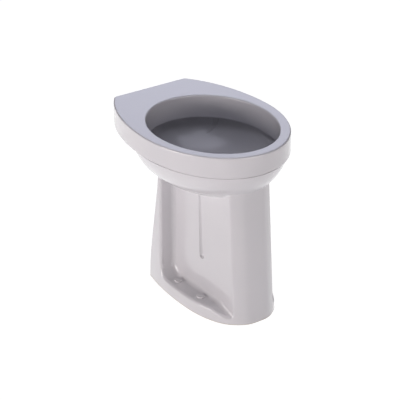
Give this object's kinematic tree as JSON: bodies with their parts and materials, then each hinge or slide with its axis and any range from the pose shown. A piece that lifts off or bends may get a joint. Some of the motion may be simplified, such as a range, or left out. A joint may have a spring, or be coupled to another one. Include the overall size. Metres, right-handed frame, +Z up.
{
  "type": "floor-standing toilet pan",
  "caption": "Comfort height floor-standing ceramic toilet pan with oval bowl, recessed column, horizontal outlet and capped floor fixings, without seat or cistern.",
  "frame": {"origin": "centre of the bounding box's base, on the floor in the symmetry plane", "axes": "+Z up, +Y towards the straight back edge of the deck, +X to the right seen from the front"},
  "size_m": [0.365, 0.486, 0.46],
  "materials": {
    "glazed_ceramic": "white glaze",
    "cap_plastic": "moulded white plastic",
    "sleeve_plastic": "natural plastic",
    "screw_steel": "zinc plated steel"
  },
  "bodies": {
    "pan": {"rim_ring": "glazed_ceramic", "bowl": "glazed_ceramic", "pedestal": "glazed_ceramic", "trapway": "glazed_ceramic", "outlet_spigot": "glazed_ceramic", "inlet_horn": "glazed_ceramic", "screw_sleeve_front_left": "sleeve_plastic", "floor_screw_front_left": "screw_steel", "washer_front_left": "screw_steel", "screw_sleeve_front_right": "sleeve_plastic", "floor_screw_front_right": "screw_steel", "washer_front_right": "screw_steel", "screw_sleeve_back_left": "sleeve_plastic", "floor_screw_back_left": "screw_steel", "washer_back_left": "screw_steel", "screw_sleeve_back_right": "sleeve_plastic", "floor_screw_back_right": "screw_steel", "washer_back_right": "screw_steel"},
    "cap_front_left": {"cover_cap_front_left": "cap_plastic"},
    "cap_front_right": {"cover_cap_front_right": "cap_plastic"},
    "cap_back_left": {"cover_cap_back_left": "cap_plastic"},
    "cap_back_right": {"cover_cap_back_right": "cap_plastic"}
  },
  "joints": [
    {"name": "cap_front_left_pull", "type": "slide", "parent": "pan", "child": "cap_front_left", "axis": [0, 0, 1], "range_m": [0, 0.03]},
    {"name": "cap_front_right_pull", "type": "slide", "parent": "pan", "child": "cap_front_right", "axis": [0, 0, 1], "range_m": [0, 0.03]},
    {"name": "cap_back_left_pull", "type": "slide", "parent": "pan", "child": "cap_back_left", "axis": [0, 0, 1], "range_m": [0, 0.03]},
    {"name": "cap_back_right_pull", "type": "slide", "parent": "pan", "child": "cap_back_right", "axis": [0, 0, 1], "range_m": [0, 0.03]}
  ]
}
